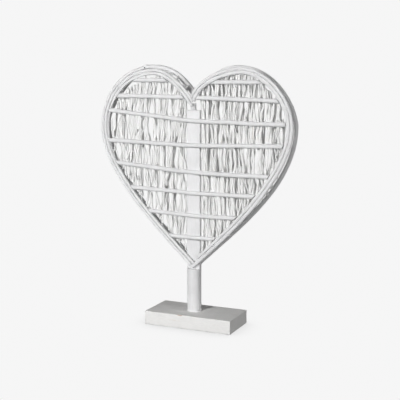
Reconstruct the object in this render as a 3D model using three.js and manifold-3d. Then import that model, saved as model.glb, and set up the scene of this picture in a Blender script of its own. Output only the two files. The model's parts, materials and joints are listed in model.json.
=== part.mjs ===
// Heart ornament: a heart of white-painted sticks and twigs on a round post with a block foot.
// Millimetres, +Z up, the front faces -Y. The origin is under the post, on the block's underside.
import * as THREE from 'three';
import { mergeVertices } from 'three/addons/utils/BufferGeometryUtils.js';
import Module from 'manifold-3d';

const wasm = await Module();
wasm.setup();

// Air left between pieces that touch.
const CLEARANCE = 0.4;

// Block foot. It sits a little to the right of the post.
const BASE_WIDTH = 183;
const BASE_DEPTH = 89;
const BASE_HEIGHT = 27;
const BASE_SHIFT_X = 3.4;
const BASE_CHAMFER = 1;

// Round post, planed flat in front where the heart lies against it.
const POST_RADIUS = 14;
const POST_TOP = 424;
const POST_SIDES = 28;
const PLANED_FACE_Y = -4;
const PLANER_WIDTH = 40;
const PLANER_OVERRUN = 1;
const PLANED_FROM_Z = 113;

// Short thick stub that fills the space between the post's top and the cleft.
const STUB_RADIUS = 5.6;
const STUB_X = -2.4;
const STUB_Y = 2;
const STUB_TOP = 437;

// Centre lines of the left and right half of each hoop, bent by hand and so not quite alike.
// They run from the cleft over the lobe and the flank to the tip, with x measured away from the post.
// The reaches are the lengths of the curve handles on either side of those four places.
const FRONT_HEARTS = [
  {
    cleftZ: 441.5, cleftSlope: 54, cleftReach: 52,
    lobeX: 82, lobeZ: 501, lobeReachIn: 22, lobeReachOut: 55,
    widestX: 199.8, widestZ: 389, widestReachUp: 74, widestReachDown: 85,
    tipZ: 117.5, tipSlope: 43, tipReach: 130,
  },
  {
    cleftZ: 452.2, cleftSlope: 66.3, cleftReach: 43,
    lobeX: 97, lobeZ: 501.7, lobeReachIn: 13, lobeReachOut: 49,
    widestX: 199.5, widestZ: 390.4, widestReachUp: 59.3, widestReachDown: 83,
    tipZ: 117.5, tipSlope: 41.6, tipReach: 121,
  },
];
const BACK_HEARTS = [
  {
    cleftZ: 445.5, cleftSlope: 52, cleftReach: 59,
    lobeX: 109.4, lobeZ: 508.6, lobeReachIn: 59, lobeReachOut: 23.5,
    widestX: 201.9, widestZ: 398.4, widestReachUp: 33.5, widestReachDown: 109,
    tipZ: 116.5, tipSlope: 44, tipReach: 108.5,
  },
  {
    cleftZ: 445.5, cleftSlope: 68, cleftReach: 45,
    lobeX: 83, lobeZ: 505.1, lobeReachIn: 28, lobeReachOut: 79,
    widestX: 199.9, widestZ: 393.2, widestReachUp: 32, widestReachDown: 112.5,
    tipZ: 116.5, tipSlope: 44.4, tipReach: 108.5,
  },
];
const LOBE = 1;
const WIDEST = 2;
const TIP = 3;

// Canes of the hoops. The front hoop lies on the planed face, the back hoop behind the post.
// The back hoop's left cane starts thick at the cleft. The two canes of the front's right side
// taper in opposite directions: the outer one is thick on the flank, the inner one above it.
const FRONT_HOOP_Y = -8;
const BACK_HOOP_Y = 18;
const BACK_CANE = 4.2;
const BACK_CANE_FOOT = 6;
const FOOT_TO = 1.1;
const THICK_CANE = 3.7;
const THIN_CANE = 3;
const TAPER_FROM = 1.7;
const TAPER_TO = 2.3;
const CANE_GAP = 0.3;
const CANE_SIDES = 6;
const CANE_STEPS = 24;

// On the front's left the canes step over each other: the outer one ends on top of the lobe,
// and an inner one on the shoulder. On the right the inner one ends beside the post.
const STEP_FROM = 1.2;
const STEP_TO = 1.9;
const LEFT_OUTER_END = 1.125;
const LEFT_INNER_END = 1.66;
const RIGHT_INNER_END = 2.945;

// Cross sticks on the front: height at the post, and slope on either side of it.
const STICK_RADIUS = 4.2;
const STICK_SIDES = 7;
const STICK_Y = PLANED_FACE_Y - CLEARANCE - STICK_RADIUS;
const STICK_BEND = 30;
const STICK_STEPS = 5;
const MITRE_ROOM = 1.5;
const MITRE_LENGTH = 90;
const MITRE_DEPTH = 17;
const MITRE_STEP = 0.01;
const FULL_STICKS = [
  { name: 'stick_3', z: 404.3, slopeLeft: -0.108, slopeRight: -0.02 },
  { name: 'stick_4', z: 356.5, slopeLeft: -0.037, slopeRight: 0.022 },
  { name: 'stick_5', z: 304.5, slopeLeft: -0.084, slopeRight: -0.011 },
  { name: 'stick_6', z: 264, slopeLeft: -0.043, slopeRight: 0 },
  { name: 'stick_7', z: 219.5, slopeLeft: -0.051, slopeRight: 0.011 },
  { name: 'stick_8', z: 176, slopeLeft: -0.018, slopeRight: 0 },
];
const LOBE_STICKS = [
  { name: 'stick_1_left', side: -1, z: 480.3, slope: -0.016 },
  { name: 'stick_1_right', side: 1, z: 477, slope: 0 },
  { name: 'stick_2_left', side: -1, z: 449, slope: -0.013 },
  { name: 'stick_2_right', side: 1, z: 448.4, slope: -0.035 },
];

// Upright twigs between the hoops, in a front and a back layer of slots on each side of the post.
// Each slot holds a forked twig and a second one that crosses behind it.
const TWIG_INNER_X = 15;
const TWIG_OUTER_X = 185;
const TWIG_INSET_CLEFTS = [-5, 1];
const TWIG_INSET_TOP = 9;
const TWIG_INSET_SHOULDER = 16;
const TWIG_INSET_FLANKS = [9, -1];
const CREST = 0.6;
const SHOULDER = 1.5;
const FLANK = 2.3;
const TWIG_LAYERS = [
  { name: 'front', y: -4, slots: 9 },
  { name: 'back', y: 3.7, slots: 8 },
];
const TWIG_SIDES = 5;
const TWIG_RADIUS_MIN = 1.6;
const TWIG_RADIUS_SPREAD = 1;
const TWIG_PAIR_RADII = 4.2;
const TWIG_CROSSING = 0.75;
const FORK_THINNING = 0.75;
const FORK_SCATTER = 0.3;
const TWIG_KNOT_PITCH = 86;
const TWIG_TRIM = 6;
const TWIG_SEED = 20;

const PAINT = { color: 0xe8e8e9, roughness: 0.75, metalness: 0 };
const WELD_DISTANCE = 1e-4;
const BISECTIONS = 40;

// Repeatable random numbers between 0 and 1.
const RANDOM_FACTOR = 1664525;
const RANDOM_STEP = 1013904223;
const RANDOM_RANGE = 2 ** 32;
let randomState = TWIG_SEED;
function random() {
  randomState = (Math.imul(randomState, RANDOM_FACTOR) + RANDOM_STEP) >>> 0;
  return randomState / RANDOM_RANGE;
}

function toSolid(geometry) {
  const bare = geometry.clone();
  bare.deleteAttribute('normal');
  bare.deleteAttribute('uv');
  const merged = mergeVertices(bare, WELD_DISTANCE);
  return new wasm.Manifold(new wasm.Mesh({
    numProp: 3,
    vertProperties: new Float32Array(merged.attributes.position.array),
    triVerts: new Uint32Array(merged.index.array),
  }));
}

function toGeometry(solid) {
  const mesh = solid.getMesh();
  const geometry = new THREE.BufferGeometry();
  geometry.setAttribute('position', new THREE.BufferAttribute(mesh.vertProperties, 3));
  geometry.setIndex(new THREE.BufferAttribute(mesh.triVerts, 1));
  geometry.computeVertexNormals();
  return geometry;
}

// Keeps a solid's largest body, without cut-off ends and sealed pockets.
function mainBody(solid) {
  const bodies = solid.decompose();
  bodies.sort((a, b) => b.volume() - a.volume());
  return toGeometry(bodies[0]);
}

// Cuts a piece back from the pieces it butts against.
function buttAgainst(geometry, blockers) {
  let solid = toSolid(geometry);
  for (const blocker of blockers) {
    solid = solid.subtract(toSolid(blocker));
  }
  return mainBody(solid);
}

function roundSection(radius, sides) {
  const corners = [];
  for (let i = 0; i < sides; i += 1) {
    const angle = ((i + 0.5) / sides) * 2 * Math.PI;
    corners.push(new THREE.Vector2(radius * Math.cos(angle), radius * Math.sin(angle)));
  }
  return new THREE.Shape(corners);
}

// A curve whose rings stand at the points that it was made from.
class RingRoute extends THREE.CatmullRomCurve3 {
  getUtoTmapping(u) {
    return u;
  }
}

function rod(points, radius, sides) {
  return new THREE.ExtrudeGeometry(roundSection(radius, sides), {
    steps: points.length - 1,
    extrudePath: new RingRoute(points),
    bevelEnabled: false,
  });
}

// A rod whose rings have radii of their own: each corner moves out from the ring that it lies on.
function taperedRod(rings, sides) {
  const geometry = rod(rings.map((ring) => ring.centre), 1, sides);
  const corners = geometry.attributes.position;
  const corner = new THREE.Vector3();
  const closer = (a, b) => {
    return b.centre.distanceToSquared(corner) < a.centre.distanceToSquared(corner) ? b : a;
  };
  for (let i = 0; i < corners.count; i += 1) {
    corner.fromBufferAttribute(corners, i);
    const { centre, radius } = rings.reduce(closer);
    corner.sub(centre).multiplyScalar(radius).add(centre);
    corners.setXYZ(i, corner.x, corner.y, corner.z);
  }
  return geometry;
}

// The rod's outline grown by the clearance, used to cut its neighbours.
function clearRod(rings, sides) {
  const grown = rings.map(({ centre, radius }) => {
    return { centre, radius: radius / Math.cos(Math.PI / sides) + CLEARANCE };
  });
  return taperedRod(grown, sides);
}

// Member of a pair for the left side (-1) or the right side (1).
const onSide = ([left, right], side) => (side < 0 ? left : right);

// Three curves in the heart's plane: cleft to lobe, lobe to widest point, widest point to tip.
function heartCurves(heart) {
  const cleftAngle = THREE.MathUtils.degToRad(heart.cleftSlope);
  const tipAngle = THREE.MathUtils.degToRad(heart.tipSlope);
  const at = (x, z) => new THREE.Vector2(x, z);
  const cleft = at(0, heart.cleftZ);
  const lobe = at(heart.lobeX, heart.lobeZ);
  const widest = at(heart.widestX, heart.widestZ);
  const tip = at(0, heart.tipZ);
  const towards = (angle, reach) => at(Math.cos(angle), Math.sin(angle)).multiplyScalar(reach);
  const cleftHandle = towards(cleftAngle, heart.cleftReach).add(cleft);
  const tipHandle = towards(tipAngle, heart.tipReach).add(tip);
  return [
    new THREE.CubicBezierCurve(cleft, cleftHandle, at(lobe.x - heart.lobeReachIn, lobe.y), lobe),
    new THREE.CubicBezierCurve(
      lobe, at(lobe.x + heart.lobeReachOut, lobe.y), at(widest.x, widest.y + heart.widestReachUp), widest),
    new THREE.CubicBezierCurve(widest, at(widest.x, widest.y - heart.widestReachDown), tipHandle, tip),
  ];
}

// Point of the half heart at u (0 cleft, 1 lobe, 2 widest, 3 tip), moved outwards by a distance.
function heartPoint(curves, u, outwards) {
  const index = Math.min(Math.floor(u), curves.length - 1);
  const point = curves[index].getPoint(u - index);
  const tangent = curves[index].getTangent(u - index);
  return point.add(new THREE.Vector2(-tangent.y, tangent.x).multiplyScalar(outwards));
}

// All canes have their rings at the same places of the heart, so that they stay side by side.
// An end between two of these places lies on the line from one to the other.
function caneRings({ heart, side, y, from = 0, to = TIP, outwards, radiusAt }) {
  const curves = heartCurves(heart);
  const stride = TIP / CANE_STEPS;
  const centreAt = (step) => {
    const point = heartPoint(curves, step * stride, outwards(step * stride));
    return new THREE.Vector3(side * point.x, y, point.y);
  };
  const endAt = (u) => {
    const step = Math.min(Math.floor(u / stride), CANE_STEPS - 1);
    const centre = centreAt(step).lerp(centreAt(step + 1), u / stride - step);
    return { centre, radius: radiusAt(u) };
  };
  const rings = [endAt(from)];
  for (let step = Math.floor(from / stride) + 1; step * stride < to; step += 1) {
    rings.push({ centre: centreAt(step), radius: radiusAt(step * stride) });
  }
  rings.push(endAt(to));
  return rings;
}

// Lengthens a cane straight on past its end at the cleft.
function runOn(rings, length) {
  const [first, second] = rings;
  const direction = first.centre.clone().sub(second.centre).normalize();
  return [{ ...first, centre: first.centre.clone().addScaledVector(direction, length) }, ...rings];
}

// Canes of the front hoop's left side, as distances outwards from the heart's centre line.
const leftPitch = 2 * THIN_CANE + CANE_GAP;
const mainCane = (u) => -leftPitch * THREE.MathUtils.smoothstep(u, STEP_FROM, STEP_TO);
const pairPitch = THICK_CANE + THIN_CANE + CANE_GAP;
const centred = () => 0;

// Radii along the canes. On the right the outer cane keeps its outer edge in place where it tapers,
// and the inner cane keeps its inner edge.
const thin = () => THIN_CANE;
const rightOuter = (u) => {
  return THREE.MathUtils.lerp(THIN_CANE, THICK_CANE, THREE.MathUtils.smoothstep(u, TAPER_FROM, TAPER_TO));
};
const rightInner = (u) => THIN_CANE + THICK_CANE - rightOuter(u);
const backLeft = (u) => {
  return THREE.MathUtils.lerp(BACK_CANE_FOOT, BACK_CANE, THREE.MathUtils.smoothstep(u, 0, FOOT_TO));
};
const backRight = () => BACK_CANE;

// At the cleft the canes of one side run through, and at the tip those of the other side.
const CLEFT_RUN_ON = 6;
const HOOPS = [
  {
    name: 'front_hoop', hearts: FRONT_HEARTS, y: FRONT_HOOP_Y, throughAtCleft: -1,
    canes: [
      { name: 'left_outer', side: -1, radiusAt: thin, from: LEFT_OUTER_END,
        outwards: (u) => mainCane(u) + leftPitch },
      { name: 'left_main', side: -1, radiusAt: thin, outwards: mainCane },
      { name: 'left_inner', side: -1, radiusAt: thin, to: LEFT_INNER_END, past: CLEFT_RUN_ON,
        outwards: (u) => mainCane(u) - leftPitch },
      { name: 'right_outer', side: 1, radiusAt: rightOuter, past: CLEFT_RUN_ON,
        outwards: (u) => THICK_CANE - rightOuter(u) },
      { name: 'right_inner', side: 1, radiusAt: rightInner, to: RIGHT_INNER_END, past: CLEFT_RUN_ON,
        outwards: (u) => THICK_CANE - rightOuter(u) - pairPitch },
    ],
  },
  {
    name: 'back_hoop', hearts: BACK_HEARTS, y: BACK_HOOP_Y, throughAtCleft: 1,
    canes: [
      { name: 'left', side: -1, radiusAt: backLeft, outwards: centred },
      { name: 'right', side: 1, radiusAt: backRight, outwards: centred },
    ],
  },
];

function hoopCanes(hoop) {
  const canes = hoop.canes.map((cane) => {
    const rings = caneRings({ heart: onSide(hoop.hearts, cane.side), y: hoop.y, ...cane });
    return { ...cane, rings: cane.past ? runOn(rings, cane.past) : rings };
  });
  const throughPart = ({ side, rings }) => {
    const isUpper = side === hoop.throughAtCleft;
    return rings.filter(({ centre }) => isUpper === centre.z > onSide(hoop.hearts, side).widestZ);
  };
  return canes.map((cane) => {
    const blockers = canes
      .filter((other) => other.side !== cane.side && throughPart(other).length > 1)
      .map((other) => clearRod(throughPart(other), CANE_SIDES));
    const geometry = buttAgainst(taperedRod(cane.rings, CANE_SIDES), blockers);
    return { name: `${hoop.name}_${cane.name}`, geometry };
  });
}

function baseBlock() {
  const flatWidth = BASE_WIDTH / 2 - BASE_CHAMFER;
  const flatDepth = BASE_DEPTH / 2 - BASE_CHAMFER;
  const outline = new THREE.Shape([
    new THREE.Vector2(-flatWidth, -flatDepth),
    new THREE.Vector2(flatWidth, -flatDepth),
    new THREE.Vector2(flatWidth, flatDepth),
    new THREE.Vector2(-flatWidth, flatDepth),
  ]);
  const geometry = new THREE.ExtrudeGeometry(outline, {
    depth: BASE_HEIGHT - 2 * BASE_CHAMFER,
    bevelEnabled: true,
    bevelThickness: BASE_CHAMFER,
    bevelSize: BASE_CHAMFER,
    bevelSegments: 1,
  });
  return geometry.translate(BASE_SHIFT_X, 0, BASE_CHAMFER);
}

function post() {
  const height = POST_TOP - BASE_HEIGHT;
  const round = new THREE.CylinderGeometry(POST_RADIUS, POST_RADIUS, height, POST_SIDES);
  round.rotateX(Math.PI / 2).translate(0, 0, BASE_HEIGHT + height / 2);
  const planedHeight = POST_TOP - PLANED_FROM_Z + PLANER_OVERRUN;
  const planed = new THREE.BoxGeometry(PLANER_WIDTH, POST_RADIUS, planedHeight);
  planed.translate(0, PLANED_FACE_Y - POST_RADIUS / 2, PLANED_FROM_Z + planedHeight / 2);
  return buttAgainst(round, [planed]);
}

function stub() {
  const bottom = POST_TOP + CLEARANCE;
  const geometry = new THREE.CylinderGeometry(STUB_RADIUS, STUB_RADIUS, STUB_TOP - bottom, CANE_SIDES);
  return geometry.rotateX(Math.PI / 2).translate(STUB_X, STUB_Y, (STUB_TOP + bottom) / 2);
}

// A full stick bends softly where it crosses the post.
function fullStickHeight(stick, x) {
  const mean = (stick.slopeLeft + stick.slopeRight) / 2;
  const bend = (stick.slopeRight - stick.slopeLeft) / 2;
  return stick.z + mean * x + bend * (Math.hypot(x, STICK_BEND) - STICK_BEND);
}

function stickRoute(fromX, toX, heightAt) {
  const points = [];
  for (let i = 0; i <= STICK_STEPS; i += 1) {
    const x = fromX + ((toX - fromX) * i) / STICK_STEPS;
    points.push(new THREE.Vector3(x, STICK_Y, heightAt(x)));
  }
  return points;
}

// Place between two others where a test turns true.
function bisect(low, high, isPast) {
  let from = low;
  let to = high;
  for (let i = 0; i < BISECTIONS; i += 1) {
    const middle = (from + to) / 2;
    if (isPast(middle)) {
      to = middle;
    } else {
      from = middle;
    }
  }
  return (from + to) / 2;
}

// Point of one half of the front hoop, moved outwards by a distance.
const frontCurves = FRONT_HEARTS.map(heartCurves);
const frontPoint = (side, u, outwards) => heartPoint(onSide(frontCurves, side), u, outwards);

// Edge of the twigs. It lies furthest inside the hoop on the shoulder, and close to it beside the cleft.
function twigEdge(side, u) {
  const { lerp, smoothstep } = THREE.MathUtils;
  const crest = lerp(onSide(TWIG_INSET_CLEFTS, side), TWIG_INSET_TOP, smoothstep(u, CREST, LOBE));
  const above = lerp(crest, TWIG_INSET_SHOULDER, smoothstep(u, LOBE, SHOULDER));
  const below = lerp(TWIG_INSET_SHOULDER, onSide(TWIG_INSET_FLANKS, side), smoothstep(u, WIDEST, FLANK));
  return frontPoint(side, u, u < WIDEST ? -above : -below);
}

// Heights of that edge above and below, at a distance from the post.
function upperZ(side, x) {
  return twigEdge(side, bisect(0, WIDEST, (u) => twigEdge(side, u).x > x)).y;
}

function lowerZ(side, x) {
  return twigEdge(side, bisect(WIDEST, TIP, (u) => twigEdge(side, u).x < x)).y;
}

// Point of the front hoop's inner side, where a stick's end may lie.
function stickSeat(side, u) {
  const leftDepth = THIN_CANE - mainCane(u) + (u < LEFT_INNER_END ? leftPitch : 0);
  const depth = side > 0 ? pairPitch + THIN_CANE : leftDepth;
  return frontPoint(side, u, -depth - MITRE_ROOM);
}

// Block that mitres a stick along the hoop's inner side near a place on the heart's edge.
function mitre(side, u) {
  const seat = stickSeat(side, u);
  const ahead = stickSeat(side, u + MITRE_STEP);
  const block = new THREE.BoxGeometry(MITRE_LENGTH, MITRE_DEPTH, MITRE_LENGTH);
  block.translate(0, STICK_Y, MITRE_LENGTH / 2);
  block.rotateY(-Math.atan2(ahead.y - seat.y, ahead.x - seat.x));
  block.translate(seat.x, 0, seat.y);
  if (side > 0) {
    return block;
  }
  return block.rotateZ(Math.PI).translate(0, 2 * STICK_Y, 0);
}

// Sticks are made from edge to edge and then mitred to fit inside the front hoop.
function sticks() {
  const outerU = (side, z) => bisect(LOBE, TIP, (u) => stickSeat(side, u).y < z);
  const cleftU = (side, z) => bisect(0, LOBE, (u) => stickSeat(side, u).y > z);
  const shaped = (name, route, mitres) => {
    return { name, geometry: buttAgainst(rod(route, STICK_RADIUS, STICK_SIDES), mitres) };
  };
  const full = FULL_STICKS.map((stick) => {
    const heightAt = (x) => fullStickHeight(stick, x);
    const [left, right] = [-1, 1].map((side) => side * frontPoint(side, outerU(side, stick.z), 0).x);
    const mitres = [mitre(-1, outerU(-1, heightAt(left))), mitre(1, outerU(1, heightAt(right)))];
    return shaped(stick.name, stickRoute(left, right, heightAt), mitres);
  });
  const lobe = LOBE_STICKS.map((stick) => {
    const heightAt = (x) => stick.z + stick.slope * x;
    const { side } = stick;
    const lobeX = side * onSide(FRONT_HEARTS, side).lobeX;
    const ends = [cleftU(side, stick.z), outerU(side, heightAt(lobeX))];
    const [inner, outer] = ends.map((u) => side * frontPoint(side, u, 0).x);
    return shaped(stick.name, stickRoute(inner, outer, heightAt), ends.map((u) => mitre(side, u)));
  });
  return [...lobe, ...full];
}

// Twig from the lower edge to the upper one that wanders inside its slot.
function twigRoute({ centre, swing, side, y, startSide }) {
  const startX = centre + startSide * swing;
  const endX = centre - startSide * swing;
  const bottom = lowerZ(side, startX) + TWIG_TRIM * (random() - 0.5);
  const top = upperZ(side, endX) + TWIG_TRIM * (random() - 0.5);
  const spans = Math.max(2, Math.round((top - bottom) / TWIG_KNOT_PITCH));
  const points = [new THREE.Vector3(side * startX, y, bottom)];
  for (let i = 1; i < spans; i += 1) {
    const x = centre + swing * (2 * random() - 1);
    points.push(new THREE.Vector3(side * x, y, bottom + ((top - bottom) * i) / spans));
  }
  points.push(new THREE.Vector3(side * endX, y, top));
  return points;
}

// A thinner prong that leaves a twig at one of its inner points and ends on the other side of the slot.
function forkRoute(twig, { centre, swing, side }) {
  const knot = 1 + Math.floor(random() * (twig.length - 2));
  const isRising = knot <= (twig.length - 1) / 2;
  const rest = isRising ? twig.slice(knot + 1) : twig.slice(0, knot).reverse();
  const points = [twig[knot].clone()];
  for (const point of rest) {
    const mirrored = 2 * centre - Math.abs(point.x) + FORK_SCATTER * swing * (random() - 0.5);
    const x = THREE.MathUtils.clamp(mirrored, centre - swing, centre + swing);
    points.push(new THREE.Vector3(side * x, point.y, point.z));
  }
  const end = points.at(-1);
  const edgeZ = isRising ? upperZ : lowerZ;
  end.z = edgeZ(side, Math.abs(end.x)) + TWIG_TRIM * (random() - 0.5);
  return points;
}

function twigBundle(side, layer, slot) {
  const width = (TWIG_OUTER_X - TWIG_INNER_X) / layer.slots;
  const centre = TWIG_INNER_X + width * (slot + 0.5);
  const frontRadius = TWIG_RADIUS_MIN + TWIG_RADIUS_SPREAD * random();
  const backRadius = TWIG_PAIR_RADII - frontRadius;
  const swing = width / 2 - Math.max(frontRadius, backRadius) - CLEARANCE / 2;
  const startSide = random() < 0.5 ? -1 : 1;
  const frontY = layer.y + frontRadius;
  const backY = frontY + TWIG_CROSSING * TWIG_PAIR_RADII;
  const place = { centre, swing, side };
  const front = twigRoute({ ...place, y: frontY, startSide });
  const back = twigRoute({ ...place, y: backY, startSide: -startSide });
  const fork = forkRoute(front, place);
  const twig = (route, radius) => toSolid(rod(route, radius, TWIG_SIDES));
  const bundle = twig(front, frontRadius)
    .add(twig(back, backRadius))
    .add(twig(fork, FORK_THINNING * frontRadius));
  return mainBody(bundle);
}

function twigBundles() {
  const bundles = [];
  for (const side of [-1, 1]) {
    for (const layer of TWIG_LAYERS) {
      for (let slot = 0; slot < layer.slots; slot += 1) {
        const name = `twigs_${side < 0 ? 'left' : 'right'}_${layer.name}_${slot + 1}`;
        bundles.push({ name, geometry: twigBundle(side, layer, slot) });
      }
    }
  }
  return bundles;
}

const [frontHoop, backHoop] = HOOPS.map(hoopCanes);
const pieces = [
  { name: 'base_block', geometry: baseBlock() },
  { name: 'post', geometry: post() },
  { name: 'post_stub', geometry: stub() },
  ...frontHoop,
  ...backHoop,
  ...sticks(),
  ...twigBundles(),
];

const ornament = new THREE.Group();
for (const piece of pieces) {
  const mesh = new THREE.Mesh(piece.geometry, new THREE.MeshStandardMaterial(PAINT));
  mesh.name = piece.name;
  ornament.add(mesh);
}

export default ornament;
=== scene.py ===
"""Heart ornament of white-painted sticks and twigs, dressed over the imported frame.

Shapes are worked out in millimetres, in the frame's own axes: +Z up, the front faces -Y.
"""

import json
import math
import random

import bpy
import numpy as np
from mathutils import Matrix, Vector, noise

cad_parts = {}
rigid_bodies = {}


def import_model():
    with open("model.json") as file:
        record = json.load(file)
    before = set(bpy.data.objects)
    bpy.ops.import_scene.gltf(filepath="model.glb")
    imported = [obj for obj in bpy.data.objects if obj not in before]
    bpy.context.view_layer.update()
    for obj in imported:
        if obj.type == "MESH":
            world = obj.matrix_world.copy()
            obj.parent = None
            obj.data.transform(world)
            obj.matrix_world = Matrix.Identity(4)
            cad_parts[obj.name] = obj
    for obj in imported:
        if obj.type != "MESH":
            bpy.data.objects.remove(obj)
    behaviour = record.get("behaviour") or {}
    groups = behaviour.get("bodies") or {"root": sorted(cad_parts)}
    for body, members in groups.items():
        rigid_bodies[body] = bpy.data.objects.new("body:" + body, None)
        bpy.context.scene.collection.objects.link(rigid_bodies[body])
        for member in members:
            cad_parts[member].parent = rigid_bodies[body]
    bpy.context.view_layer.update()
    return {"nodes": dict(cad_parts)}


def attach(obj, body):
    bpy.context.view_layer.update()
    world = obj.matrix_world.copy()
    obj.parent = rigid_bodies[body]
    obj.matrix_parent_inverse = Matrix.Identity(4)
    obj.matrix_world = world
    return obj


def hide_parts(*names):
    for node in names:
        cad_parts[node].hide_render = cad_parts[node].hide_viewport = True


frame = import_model()

MM = 0.001
CLEARANCE = 0.4
BODY = "root"
LEFT = -1
RIGHT = 1

# Block foot, a little to the right of the post.
BASE_SIZE = (183.0, 89.0, 27.0)
BASE_SHIFT_X = 3.4
BASE_ROUNDING = 1.1
BASE_PITCH = 3.0
CHIP_PLACE = (-11.0, -44.5, 27.0)
CHIP_SIZE = (6.0, 2.2, 1.9)

# Round post with a planed face.
POST_RADIUS = 14.0
POST_BOTTOM = 27.0
POST_TOP = 424.0
PLANED_FACE_Y = -4.0
PLANED_FROM_Z = 113.0

# Stub between the post's top and the cleft.
STUB_RADIUS = 5.6
STUB_FOOT = (-2.4, 2.0, 424.4)
STUB_TOP = 437.0

# Canes of the hoops. The back hoop's left cane starts thick at the cleft, and the two canes
# of the front's right side taper in opposite directions. Names here that end in FROM, TO or END
# are places along half a heart, as the class Heart counts them.
FRONT_HOOP_Y = -8.0
BACK_HOOP_Y = 18.0
BACK_CANE = 4.2
BACK_CANE_FOOT = 6.0
FOOT_TO = 1.1
THICK_CANE = 3.7
THIN_CANE = 3.0
TAPER_FROM = 1.7
TAPER_TO = 2.3
CANE_GAP = 0.3
LEFT_PITCH = 2 * THIN_CANE + CANE_GAP
PAIR_PITCH = THICK_CANE + THIN_CANE + CANE_GAP
STEP_FROM = 1.2
STEP_TO = 1.9
LEFT_OUTER_END = 1.125
LEFT_INNER_END = 1.66
RIGHT_INNER_END = 2.945
CLEFT_RUN_ON = 6.0

# Cross sticks on the front. The full ones have their height in the middle and their slopes to the
# left and right of it, and the ones in the lobes have their side, height and slope.
STICK_RADIUS = 4.2
STICK_Y = PLANED_FACE_Y - CLEARANCE - STICK_RADIUS
STICK_BEND = 30.0
MITRE_ROOM = 1.5
FULL_STICKS = [
    ("stick_3", 404.3, -0.108, -0.02),
    ("stick_4", 356.5, -0.037, 0.022),
    ("stick_5", 304.5, -0.084, -0.011),
    ("stick_6", 264.0, -0.043, 0.0),
    ("stick_7", 219.5, -0.051, 0.011),
    ("stick_8", 176.0, -0.018, 0.0),
]
LOBE_STICKS = [
    ("stick_1_left", LEFT, 480.3, -0.016),
    ("stick_1_right", RIGHT, 477.0, 0.0),
    ("stick_2_left", LEFT, 449.0, -0.013),
    ("stick_2_right", RIGHT, 448.4, -0.035),
]

# Upright twigs between the hoops. CREST, SHOULDER and FLANK are places along half a heart.
TWIG_INNER_X = 15.0
TWIG_OUTER_X = 185.0
TWIG_INSET_CLEFTS = {LEFT: -5.0, RIGHT: 1.0}
TWIG_INSET_TOP = 9.0
TWIG_INSET_SHOULDER = 16.0
TWIG_INSET_FLANKS = {LEFT: 9.0, RIGHT: -1.0}
CREST = 0.6
SHOULDER = 1.5
FLANK = 2.3
TWIG_LAYERS = [("front", -4.0, 9), ("back", 3.7, 8)]
TWIG_RADIUS_MIN = 1.6
TWIG_RADIUS_SPREAD = 1.0
TWIG_PAIR_RADII = 4.2
TWIG_CROSSING = 0.75
FORK_THINNING = 0.75
FORK_SCATTER = 0.3
TWIG_KNOT_PITCH = 86.0
TWIG_TRIM = 6.0
TWIG_SEED = 20
TWIG_FRONT_Y = -4.1
TWIG_BACK_Y = 12.0
TWIG_POST_X = 14.4
TWIG_SWAY = 4.5

# Share of their solids' thickness that the twigs keep, in the front and the back layer of each side.
TWIG_THICKNESS = {(LEFT, "front"): 0.86, (LEFT, "back"): 0.5, (RIGHT, "front"): 1.0, (RIGHT, "back"): 1.0}

# Thinner twigs pushed in between them. Their tops lean inwards on the whole, most of the left
# ones stand near the front, and some have a prong.
FILLER_TWIGS = {"left": 16, "right": 28}
FILLER_GROUP = 8
FILLER_SEED = 7
FILLER_RADIUS_MIN = 0.8
FILLER_RADIUS_SPREAD = {"left": 0.9, "right": 1.2}
FILLER_INWARDS = {"left": 20.0, "right": 8.0}
FILLER_LEAN = 32.0
FILLER_FORWARDS = {"left": 2.0, "right": 1.0}
FILLER_SWAY = 5.0
FILLER_MARGIN = 2.0
FILLER_SCATTER = 1.6
FILLER_SCATTER_BACK = 0.3
PRONG_SHARE = 0.5
PRONG_FROM = 0.2
PRONG_SPAN = 0.5
PRONG_SPREAD_MIN = 8.0
PRONG_SPREAD = 10.0

# One slim twig between the post's right side and the others fills the space beside the stub.
STUB_TWIG_RADIUS = 1.9
STUB_TWIG_Y = 10.0
STUB_TWIG_FOOT = (13.0, 400.0)
STUB_TWIG_TIP = (10.2, 452.0)
STUB_TWIG_LANE = 300.0

# Heights at which the packing of the twigs is worked out, and how the twigs give way to each other.
LEVEL_PITCH = 2.5
LEVELS = np.arange(100.0, 520.0, LEVEL_PITCH)
SETTLE_ROUNDS = 90
STEM_GAP = 0.1
TINY = 1e-6
PRESS = 0.35
SIDEWAYS_YIELD = 0.1
SPRING_BACK = 0.995
FORK_ROOM = 26.0
FORK_EASE = 24.0

# Camera of the photograph.
CAMERA_PLACE = (0.6446, -1.4011, 0.4626)
CAMERA_AZIMUTH = 24.286
CAMERA_ELEVATION = 7.882
CAMERA_LENS = 71.48
SENSOR_WIDTH = 36.0

# Studio: each light's angle to the right of the front, its angle above the floor, its strength,
# and its size and distance in metres.
KEY_LIGHT = {"azimuth": -15.0, "elevation": 21.0, "strength": 0.74, "size": 0.42, "distance": 2.3}
FRONT_LIGHT = {"azimuth": 5.0, "elevation": 3.0, "strength": 0.10, "size": 2.5, "distance": 2.5}
FILL_LIGHT = {"azimuth": 68.0, "elevation": 15.0, "strength": 0.25, "size": 0.22, "distance": 2.5}
BACK_LIGHT = {"azimuth": 204.0, "elevation": -6.0, "strength": 0.24, "size": 0.5, "distance": 2.5}
LIGHT_AIM_Z = 0.03
AMBIENT = 0.10
BACKDROP_TONE = 0.92


def direction(angle):
    return np.array([math.cos(angle), math.sin(angle)])


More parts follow.
